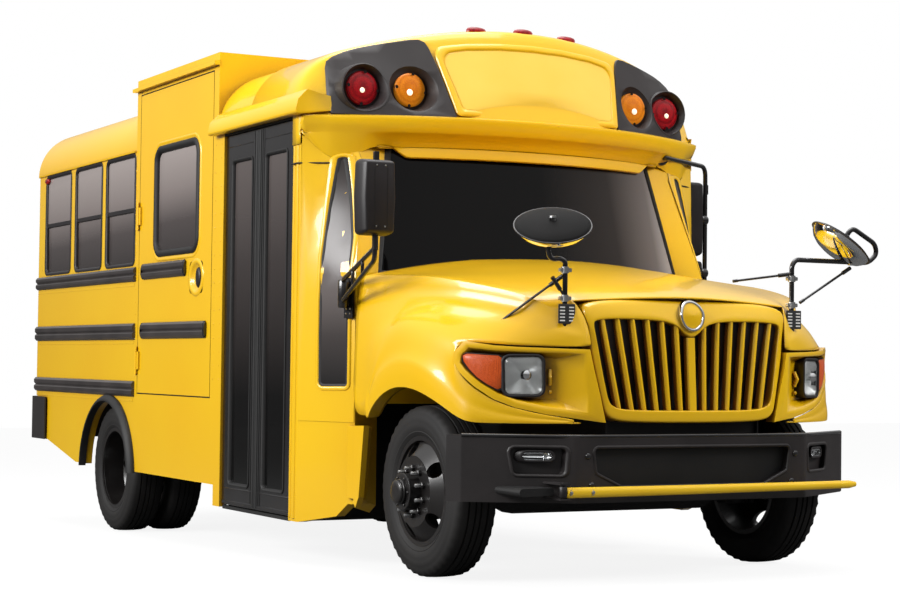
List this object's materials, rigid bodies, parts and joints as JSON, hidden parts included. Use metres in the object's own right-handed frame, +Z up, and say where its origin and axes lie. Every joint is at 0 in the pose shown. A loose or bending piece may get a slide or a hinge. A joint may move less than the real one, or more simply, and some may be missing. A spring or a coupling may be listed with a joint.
{
  "type": "school bus",
  "caption": "Short conventional school bus with a raised side lift door, dual entrance leaves, tilting hood, opening rear door, fold-out stop arm and crossing gate, and steered front wheels.",
  "frame": {"origin": "on the ground under the middle of the overall box, on the vehicle's centreline", "axes": "+Z up, the bus faces -Y, entrance and lift doors are on the -X side; the body leans 1.46 degrees nose down on its tyres as it stands"},
  "size_m": [2.672, 6.5962, 2.9152],
  "materials": {
    "body_yellow": "gloss",
    "black_paint": "semi-gloss",
    "bumper_black": "satin",
    "chassis_black": "satin",
    "engine_iron": "rough",
    "aluminium_core": "matt",
    "spring_steel": "matt",
    "floor_rubber": "ribbed matt",
    "window_glass": "tinted clear",
    "red_lens": "gloss",
    "amber_lens": "gloss",
    "clear_lens": "clear gloss",
    "black_plastic": "satin",
    "black_rubber": "matt",
    "grey_plastic": "grained",
    "seat_vinyl": "grained vinyl",
    "yellow_plastic": "gloss",
    "stop_red": "gloss",
    "tyre": "matt",
    "rim_paint": "satin"
  },
  "bodies": {
    "bus_body": {"frame_rails": "chassis_black", "engine": "engine_iron", "radiator": "aluminium_core", "fuel_tank": "chassis_black", "front_axle": "chassis_black", "rear_axle": "chassis_black", "leaf_springs": "spring_steel", "floor": "floor_rubber", "side_wall_left": "body_yellow", "side_wall_right": "body_yellow", "rear_wall": "body_yellow", "roof": "body_yellow", "lift_box": "body_yellow", "front_cap": "body_yellow", "cowl": "body_yellow", "windshield": "window_glass", "side_glass": "window_glass", "rear_glass": "window_glass", "rub_rails": "black_paint", "front_bumper": "bumper_black", "rear_bumper": "black_paint", "warning_lamps": "red_lens", "marker_lamps": "amber_lens", "tail_lamps": "red_lens", "side_mirrors": "black_plastic", "arch_flares": "black_rubber", "passenger_seats": "seat_vinyl", "driver_seat": "seat_vinyl", "dashboard": "grey_plastic"},
    "hood_assembly": {"hood": "body_yellow", "grille": "black_plastic", "headlamps": "clear_lens", "crossview_mirrors": "black_plastic"},
    "front_door_leaf": {"door_leaf_front": "black_paint", "door_glass_front": "window_glass"},
    "rear_door_leaf": {"door_leaf_rear": "black_paint", "door_glass_rear": "window_glass"},
    "lift_door_body": {"lift_door": "body_yellow", "lift_door_glass": "window_glass", "lift_door_rails": "black_paint"},
    "rear_door_body": {"rear_door": "body_yellow", "rear_door_glass": "window_glass"},
    "gate_arm": {"crossing_gate": "yellow_plastic"},
    "stop_blade": {"stop_arm": "stop_red"},
    "knuckle_body_left": {"knuckle_left": "chassis_black"},
    "knuckle_body_right": {"knuckle_right": "chassis_black"},
    "front_wheel_left": {"tyre_front_left": "tyre", "rim_front_left": "rim_paint"},
    "front_wheel_right": {"tyre_front_right": "tyre", "rim_front_right": "rim_paint"},
    "rear_wheels_left": {"tyres_rear_left": "tyre", "rims_rear_left": "rim_paint"},
    "rear_wheels_right": {"tyres_rear_right": "tyre", "rims_rear_right": "rim_paint"}
  },
  "joints": [
    {"name": "hood_tilt", "type": "hinge", "parent": "bus_body", "child": "hood_assembly", "pos_m": [0, -3.17341, 0.75391], "axis": [1, 0, 0], "range_deg": [0, 70]},
    {"name": "door_front_leaf", "type": "hinge", "parent": "bus_body", "child": "front_door_leaf", "pos_m": [-1.191, -1.33891, 1.22881], "axis": [0, -0.0255, 0.9997], "range_deg": [0, 90]},
    {"name": "door_rear_leaf", "type": "hinge", "parent": "bus_body", "child": "rear_door_leaf", "pos_m": [-1.191, -0.42721, 1.25205], "axis": [0, 0.0255, -0.9997], "range_deg": [0, 90]},
    {"name": "lift_door_hinge", "type": "hinge", "parent": "bus_body", "child": "lift_door_body", "pos_m": [-1.229, 0.99159, 1.78837], "axis": [0, 0.0255, -0.9997], "range_deg": [0, 110]},
    {"name": "rear_door_hinge", "type": "hinge", "parent": "bus_body", "child": "rear_door_body", "pos_m": [-0.394, 3.21596, 1.645], "axis": [0, -0.0255, 0.9997], "range_deg": [0, 110]},
    {"name": "crossing_gate_hinge", "type": "hinge", "parent": "bus_body", "child": "gate_arm", "pos_m": [-0.748, -3.27714, 0.42817], "axis": [0, 0.0255, -0.9997], "range_deg": [0, 90]},
    {"name": "stop_arm_hinge", "type": "hinge", "parent": "bus_body", "child": "stop_blade", "pos_m": [1.253, -0.84762, 1.34136], "axis": [0, 0.0255, -0.9997], "range_deg": [0, 90]},
    {"name": "steer_left", "type": "hinge", "parent": "bus_body", "child": "knuckle_body_left", "pos_m": [0.8, -2.45397, 0.40515], "axis": [0, -0.0255, 0.9997], "range_deg": [-35, 35]},
    {"name": "steer_right", "type": "hinge", "parent": "bus_body", "child": "knuckle_body_right", "pos_m": [-0.8, -2.45397, 0.40515], "axis": [0, -0.0255, 0.9997], "range_deg": [-35, 35]},
    {"name": "front_wheel_spin_left", "type": "hinge", "parent": "knuckle_body_left", "child": "front_wheel_left", "pos_m": [0.935, -2.45397, 0.40515], "axis": [1, 0, 0], "continuous": true},
    {"name": "front_wheel_spin_right", "type": "hinge", "parent": "knuckle_body_right", "child": "front_wheel_right", "pos_m": [-0.935, -2.45397, 0.40515], "axis": [1, 0, 0], "continuous": true},
    {"name": "rear_wheel_spin_left", "type": "hinge", "parent": "bus_body", "child": "rear_wheels_left", "pos_m": [1.082, 1.55603, 0.40515], "axis": [1, 0, 0], "continuous": true},
    {"name": "rear_wheel_spin_right", "type": "hinge", "parent": "bus_body", "child": "rear_wheels_right", "pos_m": [-1.082, 1.55603, 0.40515], "axis": [1, 0, 0], "continuous": true}
  ],
  "couplings": [
    {"joint": "steer_right", "follows": "steer_left", "ratio": 1},
    {"joint": "door_rear_leaf", "follows": "door_front_leaf", "ratio": 1}
  ]
}
